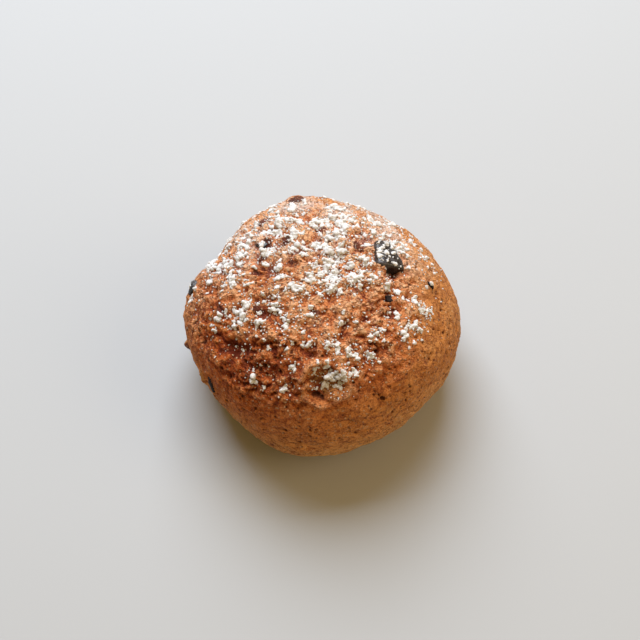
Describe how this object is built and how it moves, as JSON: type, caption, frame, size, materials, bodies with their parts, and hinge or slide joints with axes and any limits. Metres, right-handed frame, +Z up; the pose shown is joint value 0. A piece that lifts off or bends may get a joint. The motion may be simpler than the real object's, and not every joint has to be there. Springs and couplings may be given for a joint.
{
  "type": "scone",
  "caption": "Round baked scone with a rough domed top, dark chocolate chunks set in its crust and lumps of icing sugar, standing on a small flat base",
  "frame": {"origin": "centre of the flat base, where the scone rests", "axes": "+Z up out of the crown, -Y the front with the torn crust, +X to the right seen from the front"},
  "size_m": [0.079, 0.0783, 0.048],
  "materials": {
    "crust": "dry baked crust, rough, with icing sugar fused to it",
    "chocolate": "dark chocolate, smooth and slightly glossy"
  },
  "bodies": {
    "root": {"scone": "crust", "chunk_crown": "chocolate", "chunk_rim": "chocolate", "chunk_split": "chocolate", "chunk_back": "chocolate", "chunk_crumb_front": "chocolate", "chunk_crumb_right": "chocolate"}
  },
  "joints": []
}
